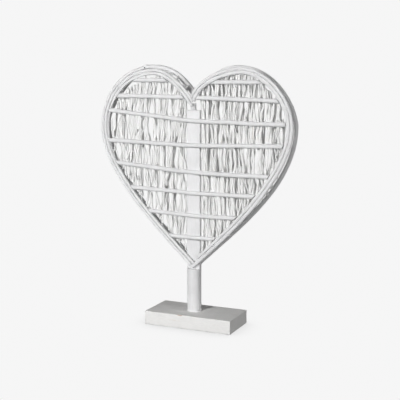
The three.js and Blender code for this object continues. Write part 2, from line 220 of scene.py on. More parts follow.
class Heart:
    """One half of a hoop's centre line: 0 is the cleft, 1 the lobe, 2 the widest point, 3 the tip."""

    def __init__(self, cleft, lobe, widest, tip):
        cleft_z, cleft_slope, cleft_reach = cleft
        lobe_x, lobe_z, reach_in, reach_out = lobe
        widest_x, widest_z, reach_up, reach_down = widest
        tip_z, tip_slope, tip_reach = tip
        self.cleft_angle = math.radians(cleft_slope)
        self.tip_angle = math.radians(tip_slope)
        start = np.array([0.0, cleft_z])
        top = np.array([lobe_x, lobe_z])
        side = np.array([widest_x, widest_z])
        end = np.array([0.0, tip_z])
        start_handle = start + cleft_reach * direction(self.cleft_angle)
        end_handle = end + tip_reach * direction(self.tip_angle)
        self.curves = [
            (start, start_handle, top - (reach_in, 0.0), top),
            (top, top + (reach_out, 0.0), side + (0.0, reach_up), side),
            (side, side - (0.0, reach_down), end_handle, end),
        ]

    def at(self, u, outwards=0.0):
        index = min(int(u), len(self.curves) - 1)
        t = u - index
        a, b, c, d = self.curves[index]
        s = 1.0 - t
        point = s * s * s * a + 3 * s * s * t * b + 3 * s * t * t * c + t * t * t * d
        run = s * s * (b - a) + 2 * s * t * (c - b) + t * t * (d - c)
        run = run / np.linalg.norm(run)
        return point + outwards * np.array([-run[1], run[0]])


# The cleft's and tip's height, slope in degrees and reach, and the lobe's and widest point's x, z
# and two reaches. A reach is how far the curve follows its direction there.
FRONT_HEARTS = {
    LEFT: Heart((441.5, 54, 52), (82, 501, 22, 55), (199.8, 389, 74, 85), (117.5, 43, 130)),
    RIGHT: Heart((452.2, 66.3, 43), (97, 501.7, 13, 49), (199.5, 390.4, 59.3, 83), (117.5, 41.6, 121)),
}
BACK_HEARTS = {
    LEFT: Heart((445.5, 52, 59), (109.4, 508.6, 59, 23.5), (201.9, 398.4, 33.5, 109), (116.5, 44, 108.5)),
    RIGHT: Heart((445.5, 68, 45), (83, 505.1, 28, 79), (199.9, 393.2, 32, 112.5), (116.5, 44.4, 108.5)),
}
LOBE = 1.0
WIDEST = 2.0
TIP = 3.0
BISECTIONS = 40


def bisect(low, high, is_past):
    """Place between two others where a test turns true."""
    for _ in range(BISECTIONS):
        middle = (low + high) / 2
        if is_past(middle):
            high = middle
        else:
            low = middle
    return (low + high) / 2


def smoothstep(value, low, high):
    t = min(max((value - low) / (high - low), 0.0), 1.0)
    return t * t * (3 - 2 * t)


def blend(first, second, share):
    return first + (second - first) * share


def twig_edge(side, u):
    """Edge of the twigs, furthest inside the hoop on the shoulder and close to it beside the cleft."""
    crest = blend(TWIG_INSET_CLEFTS[side], TWIG_INSET_TOP, smoothstep(u, CREST, LOBE))
    above = blend(crest, TWIG_INSET_SHOULDER, smoothstep(u, LOBE, SHOULDER))
    below = blend(TWIG_INSET_SHOULDER, TWIG_INSET_FLANKS[side], smoothstep(u, WIDEST, FLANK))
    return FRONT_HEARTS[side].at(u, -above if u < WIDEST else -below)


def upper_z(side, x):
    return twig_edge(side, bisect(0.0, WIDEST, lambda u: twig_edge(side, u)[0] > x))[1]


def lower_z(side, x):
    return twig_edge(side, bisect(WIDEST, TIP, lambda u: twig_edge(side, u)[0] < x))[1]


# A lane is a piece's own line in the noise, so that no two pieces are uneven in the same way.
LANE_SLANT = 0.37


def wander(place, lane):
    """Smooth noise between about -1 and 1 along a line."""
    return noise.noise(Vector((place, lane, LANE_SLANT * lane)))


# Tubes: canes, sticks and twigs.
RIM_INSET = 0.1
RIM_BULGE = 0.35
CAP_BULGE = 1.3 * RIM_BULGE
CUT_ROOM = 0.6
BUMP_WIDTH = 1.3
BUMP_LENGTH = 9.0
LANE_SPACING = 31.0
SHARP_ANGLE = 50.0


def slide_to_plane(ring, along, cut):
    """Moves a ring's points along the tube until they lie on a plane."""
    place, normal = cut
    reach = (np.asarray(place) - ring) @ np.asarray(normal) / (np.asarray(along) @ np.asarray(normal))
    return ring + reach[:, None] * np.asarray(along)


def closed_faces(rings, sides):
    """Faces of a stack of rings, closed at both ends by fans round the two points that follow them."""
    faces = []
    for k in range(rings - 1):
        for j in range(sides):
            step = (j + 1) % sides
            faces.append((k * sides + j, k * sides + step, (k + 1) * sides + step, (k + 1) * sides + j))
    first_tip = rings * sides
    last_ring = (rings - 1) * sides
    for j in range(sides):
        step = (j + 1) % sides
        faces.append((step, j, first_tip))
        faces.append((last_ring + j, last_ring + step, first_tip + 1))
    return faces


def tube(route, radii, sides, rough, lane, first_cut=None, last_cut=None):
    """Closed tube along a route. Its surface is uneven, and its ends are cut square or on a plane.

    With its points and faces come the same points on the tube laid straight, for the paint's grain.
    """
    route = np.asarray(route, dtype=float)
    radii = np.broadcast_to(np.asarray(radii, dtype=float), (len(route),))
    runs = np.gradient(route, axis=0)
    runs /= np.linalg.norm(runs, axis=1)[:, None]
    lengths = np.concatenate([[0.0], np.cumsum(np.linalg.norm(np.diff(route, axis=0), axis=1))])
    across = np.cross((0.0, 1.0, 0.0), runs)
    across /= np.linalg.norm(across, axis=1)[:, None]
    upright = np.cross(runs, across)
    angles = np.arange(sides) * 2 * math.pi / sides
    cosines = np.cos(angles)
    sines = np.sin(angles)
    rings = []
    straight = []
    for k in range(len(route)):
        level = lengths[k] / BUMP_LENGTH
        bumps = [
            noise.noise(Vector((BUMP_WIDTH * c + lane, BUMP_WIDTH * s, level)))
            for c, s in zip(cosines, sines)
        ]
        reach = radii[k] * (1.0 + rough * np.array(bumps))
        width = reach * cosines
        depth = reach * sines
        rings.append(route[k] + width[:, None] * across[k] + depth[:, None] * upright[k])
        straight.append(np.column_stack([width + LANE_SPACING * lane, depth, np.full(sides, lengths[k])]))
    kept = list(range(len(rings)))
    for end, cut in ((0, first_cut), (len(rings) - 1, last_cut)):
        if cut is None:
            continue
        moved = slide_to_plane(rings[end], runs[end], cut)
        shift = np.abs((moved - rings[end]) @ runs[end]).max()
        straight[end][:, 2] += (moved - rings[end]) @ runs[end]
        rings[end] = moved
        kept = [k for k in kept if k == end or abs(lengths[k] - lengths[end]) > shift + CUT_ROOM]
    rings = [rings[k] for k in kept]
    straight = [straight[k] for k in kept]
    caps = []
    for end, outwards in ((0, -runs[0]), (-1, runs[-1])):
        middle = rings[end].mean(axis=0)
        flat_middle = straight[end].mean(axis=0)
        rim = rings[end] + RIM_INSET * (middle - rings[end]) + RIM_BULGE * outwards
        caps.append((rim, middle + CAP_BULGE * outwards, straight[end], flat_middle))
    rings = [caps[0][0]] + rings + [caps[1][0]]
    straight = [caps[0][2]] + straight + [caps[1][2]]
    points = np.vstack(rings + [caps[0][1][None], caps[1][1][None]])
    flats = np.vstack(straight + [caps[0][3][None], caps[1][3][None]])
    return points, closed_faces(len(rings), sides), flats


def piece(name, shells, material, nodes=(), chips=None):
    """Joins shells into one object that rides on the body and takes the place of CAD nodes."""
    points = []
    faces = []
    flats = []
    for shell_points, shell_faces, shell_flats in shells:
        offset = sum(len(p) for p in points)
        points.append(shell_points)
        flats.append(shell_flats)
        faces.extend(tuple(offset + i for i in face) for face in shell_faces)
    points = np.vstack(points) * MM
    flats = np.vstack(flats) * MM
    mesh = bpy.data.meshes.new(name)
    mesh.from_pydata(points.tolist(), [], faces)
    straight = mesh.attributes.new("straight", "FLOAT_VECTOR", "POINT")
    straight.data.foreach_set("vector", flats.astype(np.float32).ravel())
    if chips is not None:
        chipped = mesh.attributes.new("chip", "FLOAT", "POINT")
        chipped.data.foreach_set("value", chips.astype(np.float32))
    mesh.polygons.foreach_set("use_smooth", [True] * len(mesh.polygons))
    mesh.set_sharp_from_angle(angle=math.radians(SHARP_ANGLE))
    mesh.materials.append(material)
    mesh.update()
    made = bpy.data.objects.new(name, mesh)
    bpy.context.scene.collection.objects.link(made)
    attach(made, BODY)
    if nodes:
        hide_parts(*nodes)


# Materials: matte white paint over wood.
def add_node(tree, kind, **sockets):
    node = tree.nodes.new(kind)
    for name, value in sockets.items():
        node.inputs[name.replace("_", " ")].default_value = value
    return node


def noise_node(tree, vector, scale, detail, roughness):
    node = add_node(tree, "ShaderNodeTexNoise", Scale=scale, Detail=detail, Roughness=roughness)
    tree.links.new(vector, node.inputs["Vector"])
    return node.outputs["Fac"]


def ramp_node(tree, factor, stops):
    node = tree.nodes.new("ShaderNodeValToRGB")
    node.color_ramp.elements[0].position = stops[0][0]
    node.color_ramp.elements[0].color = (*stops[0][1], 1.0)
    node.color_ramp.elements[1].position = stops[1][0]
    node.color_ramp.elements[1].color = (*stops[1][1], 1.0)
    tree.links.new(factor, node.inputs["Fac"])
    return node.outputs["Color"]


def mix_node(tree, factor, first, second, mode="MIX"):
    node = tree.nodes.new("ShaderNodeMix")
    node.data_type = "RGBA"
    node.blend_type = mode
    if factor is None:
        node.inputs["Factor"].default_value = 1.0
    else:
        tree.links.new(factor, node.inputs["Factor"])
    for socket, value in ((node.inputs["A"], first), (node.inputs["B"], second)):
        if isinstance(value, tuple):
            socket.default_value = (*value, 1.0)
        else:
            tree.links.new(value, socket)
    return node.outputs["Result"]


BLACK = (0.0, 0.0, 0.0)
WHITE = (1.0, 1.0, 1.0)
STREAK = (0.93, 0.93, 0.93)
SMOOTH_PAINT = (0.62, 0.62, 0.62)
ROUGH_PAINT = (0.78, 0.78, 0.78)
CHIP_COLOUR = (0.58, 0.46, 0.39)
PAINT_SPECULAR = 0.3
WORN_SCALE = 2.5
WORN_FADE = 0.12
BUMP_STRENGTH = 0.6


def painted(name, white, shade, bare, bare_from, stretch, grain, blotch, bump_depth, has_chip=False):
    """Matte paint: blotchy white, fine grain along the wood, and bare wood where the paint is thin."""
    material = bpy.data.materials.new(name)
    material.use_nodes = True
    tree = material.node_tree
    shader = tree.nodes["Principled BSDF"]
    shader.inputs["Specular IOR Level"].default_value = PAINT_SPECULAR
    place = tree.nodes.new("ShaderNodeAttribute")
    place.attribute_name = "straight"
    along = add_node(tree, "ShaderNodeMapping", Scale=(1.0, 1.0, stretch))
    tree.links.new(place.outputs["Vector"], along.inputs["Vector"])
    fine = noise_node(tree, along.outputs["Vector"], grain, detail=4.0, roughness=0.6)
    cloudy = noise_node(tree, place.outputs["Vector"], blotch, detail=3.0, roughness=0.5)
    patchy = noise_node(tree, along.outputs["Vector"], WORN_SCALE * blotch, detail=4.0, roughness=0.65)
    tone = ramp_node(tree, cloudy, [(0.3, shade), (0.65, white)])
    streaks = ramp_node(tree, fine, [(0.25, STREAK), (0.6, WHITE)])
    colour = mix_node(tree, None, tone, streaks, "MULTIPLY")
    worn = ramp_node(tree, patchy, [(bare_from, BLACK), (bare_from + WORN_FADE, WHITE)])
    colour = mix_node(tree, worn, colour, bare)
    if has_chip:
        chip = tree.nodes.new("ShaderNodeAttribute")
        chip.attribute_name = "chip"
        colour = mix_node(tree, chip.outputs["Fac"], colour, CHIP_COLOUR)
    tree.links.new(colour, shader.inputs["Base Color"])
    gloss = ramp_node(tree, cloudy, [(0.3, SMOOTH_PAINT), (0.7, ROUGH_PAINT)])
    tree.links.new(gloss, shader.inputs["Roughness"])
    bump = add_node(tree, "ShaderNodeBump", Strength=BUMP_STRENGTH, Distance=bump_depth)
    tree.links.new(fine, bump.inputs["Height"])
    tree.links.new(bump.outputs["Normal"], shader.inputs["Normal"])
    return material


PAINT_WHITE = (0.82, 0.82, 0.825)
PAINT_SHADE = (0.76, 0.76, 0.765)
block_paint = painted(
    "painted_block", white=(0.88, 0.875, 0.86), shade=(0.84, 0.835, 0.82), bare=(0.78, 0.73, 0.66),
    bare_from=0.66, stretch=0.15, grain=700.0, blotch=45.0, bump_depth=0.0004, has_chip=True,
)
post_paint = painted(
    "painted_post", white=PAINT_WHITE, shade=PAINT_SHADE, bare=(0.76, 0.73, 0.68),
    bare_from=0.68, stretch=0.08, grain=700.0, blotch=40.0, bump_depth=0.0004,
)
cane_paint = painted(
    "painted_cane", white=PAINT_WHITE, shade=PAINT_SHADE, bare=(0.75, 0.72, 0.67),
    bare_from=0.68, stretch=0.06, grain=1100.0, blotch=60.0, bump_depth=0.0004,
)
stick_paint = painted(
    "painted_stick", white=PAINT_WHITE, shade=PAINT_SHADE, bare=(0.74, 0.71, 0.66),
    bare_from=0.67, stretch=0.06, grain=1000.0, blotch=60.0, bump_depth=0.0005,
)
twig_paint = painted(
    "painted_twig", white=(0.91, 0.91, 0.905), shade=(0.85, 0.85, 0.84), bare=(0.80, 0.76, 0.68),
    bare_from=0.63, stretch=0.10, grain=1100.0, blotch=70.0, bump_depth=0.0006,
)


# Block foot: a box with soft, slightly worn edges and a chip in its front top edge.
RIM_SHARES = (0.35, 0.7, 1.0)
STOP_ROOM = 0.05
CHIP_PITCH = 0.7
CHIP_STEPS = 9
EDGE_INSET = 1.2
EDGE_STOPS = 5
DENT = 0.12
DENT_LENGTHS = (14.0, 14.0, 9.0)
WEAR = 0.45
WEAR_LENGTH = 5.0
WEAR_FROM = 0.12
CHIP_REACH = 1.15
CHIP_RAGGED = 0.25
CHIP_RAGGED_LENGTH = 1.4
CHIP_SINK = (0.0, 1.0, -1.1)
CHIP_TINT = 2.2
CHIP_TINT_MAX = 0.9


def axis_stops(length, pitch, extra):
    half = length / 2
    rim = BASE_ROUNDING
    inner = half - rim
    count = max(2, round(2 * inner / pitch))
    middle = [-inner + 2 * inner * i / count for i in range(count + 1)]
    rims = [inner + rim * t for t in RIM_SHARES]
    stops = sorted(set([-r for r in rims] + middle + rims + [e for e in extra if abs(e) < inner]))
    return [stop for i, stop in enumerate(stops) if i == 0 or stop - stops[i - 1] > STOP_ROOM]


def block_shell():
    width, depth, height = BASE_SIZE
    chip_x = CHIP_PLACE[0] - BASE_SHIFT_X
    front = -depth / 2 + EDGE_INSET
    top = height / 2 - EDGE_INSET
    chip_steps = range(-CHIP_STEPS, CHIP_STEPS + 1)
    xs = axis_stops(width, BASE_PITCH, [chip_x + CHIP_PITCH * i for i in chip_steps])
    ys = axis_stops(depth, BASE_PITCH, [front + CHIP_PITCH * i for i in range(EDGE_STOPS)])
    zs = axis_stops(height, BASE_PITCH, [top - CHIP_PITCH * i for i in range(EDGE_STOPS)])
    half = np.array(BASE_SIZE) / 2
    index = {}
    points = []
    faces = []

    def corner(x, y, z):
        key = (round(x, 3), round(y, 3), round(z, 3))
        if key not in index:
            index[key] = len(points)
            points.append((x, y, z))
        return index[key]

    for first, second, fixed in ((xs, ys, 2), (ys, zs, 0), (zs, xs, 1)):
        for sign in (-1, 1):
            for i in range(len(first) - 1):
                for j in range(len(second) - 1):
                    quad = []
                    for a, b in ((i, j), (i + 1, j), (i + 1, j + 1), (i, j + 1)):
                        spot = [0.0, 0.0, 0.0]
                        spot[fixed] = sign * half[fixed]
                        spot[(fixed + 1) % 3] = first[a]
                        spot[(fixed + 2) % 3] = second[b]
                        quad.append(corner(*spot))
                    faces.append(tuple(quad if sign > 0 else reversed(quad)))
    spots = np.array(points)
    inner = half - BASE_ROUNDING
    core = np.clip(spots, -inner, inner)
    away = spots - core
    distance = np.linalg.norm(away, axis=1)
    normal = away / distance[:, None]
    edge = (np.abs(spots) > inner).sum(axis=1) > 1
    made = core + BASE_ROUNDING * normal
    for i, spot in enumerate(spots):
        dent = DENT * noise.noise(Vector(spot / DENT_LENGTHS))
        if edge[i]:
            dent += WEAR * min(0.0, noise.noise(Vector(spot / WEAR_LENGTH)) - WEAR_FROM)
        if spot[2] < -inner[2] and not edge[i]:
            dent = 0.0
        made[i] += normal[i] * dent
    made = np.clip(made, -half, half)
    made += (BASE_SHIFT_X, 0.0, half[2])
    spread = (made - CHIP_PLACE) / CHIP_SIZE
    ragged = [CHIP_RAGGED * noise.noise(Vector(spot / CHIP_RAGGED_LENGTH)) for spot in made]
    closeness = np.clip(CHIP_REACH - np.linalg.norm(spread, axis=1) + ragged, 0.0, 1.0)
    made += closeness[:, None] * CHIP_SINK
    flats = made[:, (1, 2, 0)]
    return (made, faces, flats), np.clip(CHIP_TINT * closeness, 0.0, CHIP_TINT_MAX)


shell, chips = block_shell()
piece("block_foot", [shell], block_paint, ["base_block"], chips)


# Post: a dowel, planed flat in front from below the heart's tip upwards.
POST_PITCH = 3.0
POST_BACK_STEPS = 44
POST_FRONT_STEPS = 20
POST_MIDDLE_Y = 4.0
POST_RIM = 0.5
POST_RIM_HEIGHT = 0.6
POST_GRAIN = 0.14
POST_GRAIN_WIDTH = 2.2
POST_GRAIN_LENGTH = 60.0
PLANED_STEP = 0.5
PLANED_GRAIN = 0.1
PLANED_GRAIN_WIDTH = 5.0
PLANED_GRAIN_LENGTH = 25.0
PLANED_LANE = 3.0


def post_shell():
    corner = math.asin(PLANED_FACE_Y / POST_RADIUS)
    back_turn = math.pi - 2 * corner
    front_turn = math.pi + 2 * corner
    angles = [corner + back_turn * i / POST_BACK_STEPS for i in range(POST_BACK_STEPS)]
    angles += [math.pi - corner + front_turn * i / POST_FRONT_STEPS for i in range(POST_FRONT_STEPS)]
    round_steps = int((PLANED_FROM_Z - POST_BOTTOM) / POST_PITCH)
    planed_steps = int((POST_TOP - PLANED_FROM_Z) / POST_PITCH)
    heights = [(POST_BOTTOM + POST_PITCH * i, False) for i in range(round_steps)]
    heights += [(PLANED_FROM_Z - PLANED_STEP, False), (PLANED_FROM_Z, True)]
    heights += [(PLANED_FROM_Z + POST_PITCH * i, True) for i in range(1, planed_steps)]
    heights += [(POST_TOP - POST_RIM_HEIGHT, True), (POST_TOP, True)]
    points = []
    for k, (z, is_planed) in enumerate(heights):
        trim = POST_RIM if k == len(heights) - 1 else 0.0
        for angle in angles:
            cosine = math.cos(angle)
            sine = math.sin(angle)
            spot = (POST_GRAIN_WIDTH * cosine, POST_GRAIN_WIDTH * sine, z / POST_GRAIN_LENGTH)
            radius = POST_RADIUS - trim + POST_GRAIN * noise.noise(Vector(spot))
            x = radius * cosine
            y = radius * sine
            if is_planed and y < PLANED_FACE_Y + trim:
                spot = (x / PLANED_GRAIN_WIDTH, PLANED_LANE, z / PLANED_GRAIN_LENGTH)
                y = PLANED_FACE_Y + trim + PLANED_GRAIN * noise.noise(Vector(spot))
            points.append((x, y, z))
    points.append((0.0, POST_MIDDLE_Y, POST_BOTTOM))
    points.append((0.0, POST_MIDDLE_Y, POST_TOP))
    points = np.array(points)
    return points, closed_faces(len(heights), len(angles)), points.copy()


piece("post", [post_shell()], post_paint, ["post"])

STUB_STEPS = 6
STUB_SIDES = 14
STUB_ROUGHNESS = 0.12
STUB_LANE = 5.1
stub_x, stub_y, stub_z = STUB_FOOT
stub_heights = [stub_z + (STUB_TOP - stub_z) * i / STUB_STEPS for i in range(STUB_STEPS + 1)]
stub_route = [(stub_x, stub_y, z) for z in stub_heights]
stub_shell = tube(stub_route, STUB_RADIUS, STUB_SIDES, STUB_ROUGHNESS, STUB_LANE)
piece("post_stub", [stub_shell], post_paint, ["post_stub"])


# Hoops: canes bent along the hearts.
CANE_PITCH = 3.0
CANE_SIDES = 14
CANE_STEPS = 400
CANE_ROUGHNESS = 0.04
CANE_KNOT_SPACING = 70.0
CANE_SWELLING = 0.06
CANE_SWAY = 0.4
CANE_SWAY_LENGTH = 45.0
CANE_SWAY_LANE = 3.3
CANE_END_RUN = 20.0
CANE_LANE = 2.7
CANE_LANE_STEP = 1.9
HOOP_LANE_STEP = 0.1
UNEVENNESS = 0.05
UNEVEN_LENGTH = 22.0
KNOT_LENGTH = 2.2
KNOT_SPACING_MIN = 0.6
KNOT_SPACING_SPREAD = 0.8
SEEDS_PER_LANE = 1000


def resampled(points, pitch, sizes):
    """The same route with evenly spaced points, their distances along it and their sizes."""
    lengths = np.concatenate([[0.0], np.cumsum(np.linalg.norm(np.diff(points, axis=0), axis=1))])
    count = max(2, round(lengths[-1] / pitch))
    stops = np.linspace(0.0, lengths[-1], count + 1)
    route = np.column_stack([np.interp(stops, lengths, points[:, i]) for i in range(3)])
    return route, stops, np.interp(stops, lengths, sizes)


def knotted(radius, stops, lane, spacing, swelling):
    """Radius along a stem, a little uneven, with swollen knots at uneven distances."""
    radii = np.array([radius * (1.0 + UNEVENNESS * wander(s / UNEVEN_LENGTH, lane)) for s in stops])
    knots = random.Random(round(SEEDS_PER_LANE * lane))
    place = spacing * knots.random()
    while place < stops[-1]:
        radii *= 1.0 + swelling * np.exp(-(((stops - place) / KNOT_LENGTH) ** 2))
        place += spacing * (KNOT_SPACING_MIN + KNOT_SPACING_SPREAD * knots.random())
    return radii


def cane_shell(heart, side, y, radius_at, offset_at, lane,
               start=0.0, end=TIP, past_cleft=0.0, cuts=(None, None)):
    """One cane along half a heart, from one place on it to another, shortened by the cuts at its ends."""
    places = np.linspace(start, end, CANE_STEPS + 1)
    route = []
    for u in places:
        x, z = heart.at(u, offset_at(u))
        route.append((side * x, y, z))
    route = np.array(route)
    sizes = np.array([radius_at(u) for u in places])
    if past_cleft:
        ahead = route[0] - route[1]
        route = np.vstack([route[0] + past_cleft * ahead / np.linalg.norm(ahead), route])
        sizes = np.concatenate([sizes[:1], sizes])
    is_late = np.arange(len(route)) > len(route) / 2
    kept = np.ones(len(route), dtype=bool)
    for cut, near_end in ((cuts[0], ~is_late), (cuts[1], is_late)):
        if cut is not None:
            place, normal = cut
            kept &= ((route - place) @ normal > 0.0) | ~near_end
    route, stops, sizes = resampled(route[kept], CANE_PITCH, sizes[kept])
    middle = stops[-1] / 2
    for k, stop in enumerate(stops):
        free = min(1.0, (middle - abs(stop - middle)) / CANE_END_RUN)
        route[k, 1] += CANE_SWAY * free * wander(stop / CANE_SWAY_LENGTH, lane + CANE_SWAY_LANE)
    radii = sizes * knotted(1.0, stops, lane, CANE_KNOT_SPACING, CANE_SWELLING)
    return tube(route, radii, CANE_SIDES, CANE_ROUGHNESS, lane, cuts[0], cuts[1])


def butt_plane(heart, is_tip, through_side, distance):
    """Plane along a cane that runs through at the cleft or tip, at a distance on its other side."""
    angle = heart.tip_angle if is_tip else heart.cleft_angle
    corner = heart.at(TIP if is_tip else 0.0)
    normal = np.array([-through_side * math.sin(angle), 0.0, math.cos(angle)])
    place = np.array([corner[0], 0.0, corner[1]]) + distance * normal
    return place, normal


# Radius of each cane, and how far it runs outside the heart's line.
def left_radius(_):
    return THIN_CANE


def right_outer_radius(u):
    return blend(THIN_CANE, THICK_CANE, smoothstep(u, TAPER_FROM, TAPER_TO))


def right_inner_radius(u):
    return THIN_CANE + THICK_CANE - right_outer_radius(u)


def back_left_radius(u):
    return blend(BACK_CANE_FOOT, BACK_CANE, smoothstep(u, 0.0, FOOT_TO))


def back_right_radius(_):
    return BACK_CANE


def left_main_offset(u):
    return -LEFT_PITCH * smoothstep(u, STEP_FROM, STEP_TO)


def left_outer_offset(u):
    return left_main_offset(u) + LEFT_PITCH


def left_inner_offset(u):
    return left_main_offset(u) - LEFT_PITCH


def right_outer_offset(u):
    return THICK_CANE - right_outer_radius(u)


def right_inner_offset(u):
    return right_outer_offset(u) - PAIR_PITCH


def back_offset(_):
    return 0.0


front_cleft = butt_plane(FRONT_HEARTS[LEFT], False, LEFT, THIN_CANE + CLEARANCE)
front_tip = butt_plane(FRONT_HEARTS[RIGHT], True, RIGHT, THICK_CANE + CLEARANCE)
back_cleft = butt_plane(BACK_HEARTS[RIGHT], False, RIGHT, BACK_CANE + CLEARANCE)
back_tip = butt_plane(BACK_HEARTS[LEFT], True, LEFT, BACK_CANE + CLEARANCE)

front_canes = [
    ("left_outer", LEFT, left_radius, left_outer_offset,
     {"start": LEFT_OUTER_END, "cuts": (None, front_tip)}),
    ("left_main", LEFT, left_radius, left_main_offset,
     {"cuts": (None, front_tip)}),
    ("left_inner", LEFT, left_radius, left_inner_offset,
     {"end": LEFT_INNER_END, "past_cleft": CLEFT_RUN_ON}),
    ("right_outer", RIGHT, right_outer_radius, right_outer_offset,
     {"past_cleft": CLEFT_RUN_ON, "cuts": (front_cleft, None)}),
    ("right_inner", RIGHT, right_inner_radius, right_inner_offset,
     {"end": RIGHT_INNER_END, "past_cleft": CLEFT_RUN_ON, "cuts": (front_cleft, None)}),
]
back_canes = [
    ("left", LEFT, back_left_radius, back_offset, {"cuts": (back_cleft, None)}),
    ("right", RIGHT, back_right_radius, back_offset, {"cuts": (None, back_tip)}),
]
for hoop, hearts, hoop_y, canes in (
    ("front_hoop", FRONT_HEARTS, FRONT_HOOP_Y, front_canes),
    ("back_hoop", BACK_HEARTS, BACK_HOOP_Y, back_canes),
):
    for number, (name, side, radius_at, offset_at, options) in enumerate(canes):
        cane_lane = CANE_LANE + CANE_LANE_STEP * number + HOOP_LANE_STEP * hoop_y
        shell = cane_shell(hearts[side], side, hoop_y, radius_at, offset_at, cane_lane, **options)
        piece(f"{hoop}_{name}", [shell], cane_paint, [f"{hoop}_{name}"])


# Cross sticks, mitred along the inner side of the front hoop.
STICK_SIDES = 14
STICK_ROUGHNESS = 0.07
STICK_KNOT_SPACING = 55.0
STICK_SWELLING = 0.08
STICK_SWAY = 0.9
STICK_SWAY_LENGTH = 38.0
STICK_QUARTERS = 4.0
STICK_LANE = 40.3
STICK_LANE_STEP = 1.7
SEAT_STEP = 0.01


def stick_seat(side, u):
    """Place inside the front hoop's canes where a stick's middle line ends."""
    if side == RIGHT:
        depth = PAIR_PITCH + THIN_CANE
    else:
        depth = THIN_CANE - left_main_offset(u) + (LEFT_PITCH if u < LEFT_INNER_END else 0.0)
    return FRONT_HEARTS[side].at(u, -depth - MITRE_ROOM)


def mitre_plane(side, u):
    seat = stick_seat(side, u)
    ahead = stick_seat(side, u + SEAT_STEP) - seat
    normal = np.array([-side * ahead[1], 0.0, ahead[0]])
    return np.array([side * seat[0], STICK_Y, seat[1]]), normal / np.linalg.norm(normal)


def outer_u(side, z):
    return bisect(LOBE, TIP, lambda u: stick_seat(side, u)[1] < z)


def cleft_u(side, z):
    return bisect(0.0, LOBE, lambda u: stick_seat(side, u)[1] > z)


def stick_shell(ends, height_at, lane):
    """One stick between two mitre planes. It sways a little, less in its outer quarters."""
    first = ends[0][0]
    last = ends[1][0]
    count = max(4, round(abs(last[0] - first[0]) / CANE_PITCH))
    route = []
    for i in range(count + 1):
        x = first[0] + (last[0] - first[0]) * i / count
        free = min(1.0, STICK_QUARTERS * i / count, STICK_QUARTERS * (count - i) / count)
        z = height_at(x) + STICK_SWAY * free * wander(x / STICK_SWAY_LENGTH, lane)
        route.append((x, STICK_Y, z))
    stops = np.abs(np.array(route)[:, 0] - first[0])
    radii = knotted(STICK_RADIUS, stops, lane, STICK_KNOT_SPACING, STICK_SWELLING)
    return tube(route, radii, STICK_SIDES, STICK_ROUGHNESS, lane, ends[0], ends[1])


stick_lane = STICK_LANE
for name, stick_z, slope_left, slope_right in FULL_STICKS:
    def full_height(x):
        mean = (slope_left + slope_right) / 2
        bend = (slope_right - slope_left) / 2
        return stick_z + mean * x + bend * (math.hypot(x, STICK_BEND) - STICK_BEND)

    stick_ends = []
    for side in (LEFT, RIGHT):
        reach = FRONT_HEARTS[side].at(outer_u(side, stick_z))[0]
        stick_ends.append(mitre_plane(side, outer_u(side, full_height(side * reach))))
    stick_lane += STICK_LANE_STEP
    piece(name, [stick_shell(stick_ends, full_height, stick_lane)], stick_paint, [name])
for name, side, stick_z, slope in LOBE_STICKS:
    def lobe_height(x):
        return stick_z + slope * x

    lobe_x = FRONT_HEARTS[side].at(LOBE)[0]
    places = [cleft_u(side, stick_z), outer_u(side, lobe_height(side * lobe_x))]
    stick_ends = [mitre_plane(side, u) for u in places]
    stick_lane += STICK_LANE_STEP
    piece(name, [stick_shell(stick_ends, lobe_height, stick_lane)], stick_paint, [name])


# Twigs. The routes of the thick ones repeat the solids' own random numbers.
MULTIPLIER = 1664525
INCREMENT = 1013904223
MODULUS = 2**32


class Sequence:
    """Repeatable random numbers between 0 and 1."""

    def __init__(self, seed):
        self.state = seed

    def next(self):
        self.state = (self.state * MULTIPLIER + INCREMENT) % MODULUS
        return self.state / MODULUS


sequence = Sequence(TWIG_SEED)


def twig_points(side, centre, swing, y, start_side):
    start_x = centre + start_side * swing
    end_x = centre - start_side * swing
    bottom = lower_z(side, start_x) + TWIG_TRIM * (sequence.next() - 0.5)
    top = upper_z(side, end_x) + TWIG_TRIM * (sequence.next() - 0.5)
    spans = max(2, math.floor((top - bottom) / TWIG_KNOT_PITCH + 0.5))
    points = [(start_x, y, bottom)]
    for i in range(1, spans):
        x = centre + swing * (2 * sequence.next() - 1)
        points.append((x, y, bottom + (top - bottom) * i / spans))
    points.append((end_x, y, top))
    return points


def fork_points(side, twig, centre, swing):
    knot = 1 + int(sequence.next() * (len(twig) - 2))
    is_rising = knot <= (len(twig) - 1) / 2
    rest = twig[knot + 1:] if is_rising else twig[:knot][::-1]
    points = [twig[knot]]
    for x, y, z in rest:
        mirrored = 2 * centre - x + FORK_SCATTER * swing * (sequence.next() - 0.5)
        points.append((min(max(mirrored, centre - swing), centre + swing), y, z))
    x, y, _ = points[-1]
    edge_z = upper_z if is_rising else lower_z
    points[-1] = (x, y, edge_z(side, x) + TWIG_TRIM * (sequence.next() - 0.5))
    return points


# Bends of the twigs: their corners are smoothed over so many levels, and then they sway.
SMOOTHING = 14
BEND_LENGTH = 27.0
KINK_SHARE = 0.25
KINK_LENGTH = 10.0
KINK_LANE = 9.1
DEPTH_SHARE = 0.3
DEPTH_LENGTH = 31.0
DEPTH_LANE = 4.7


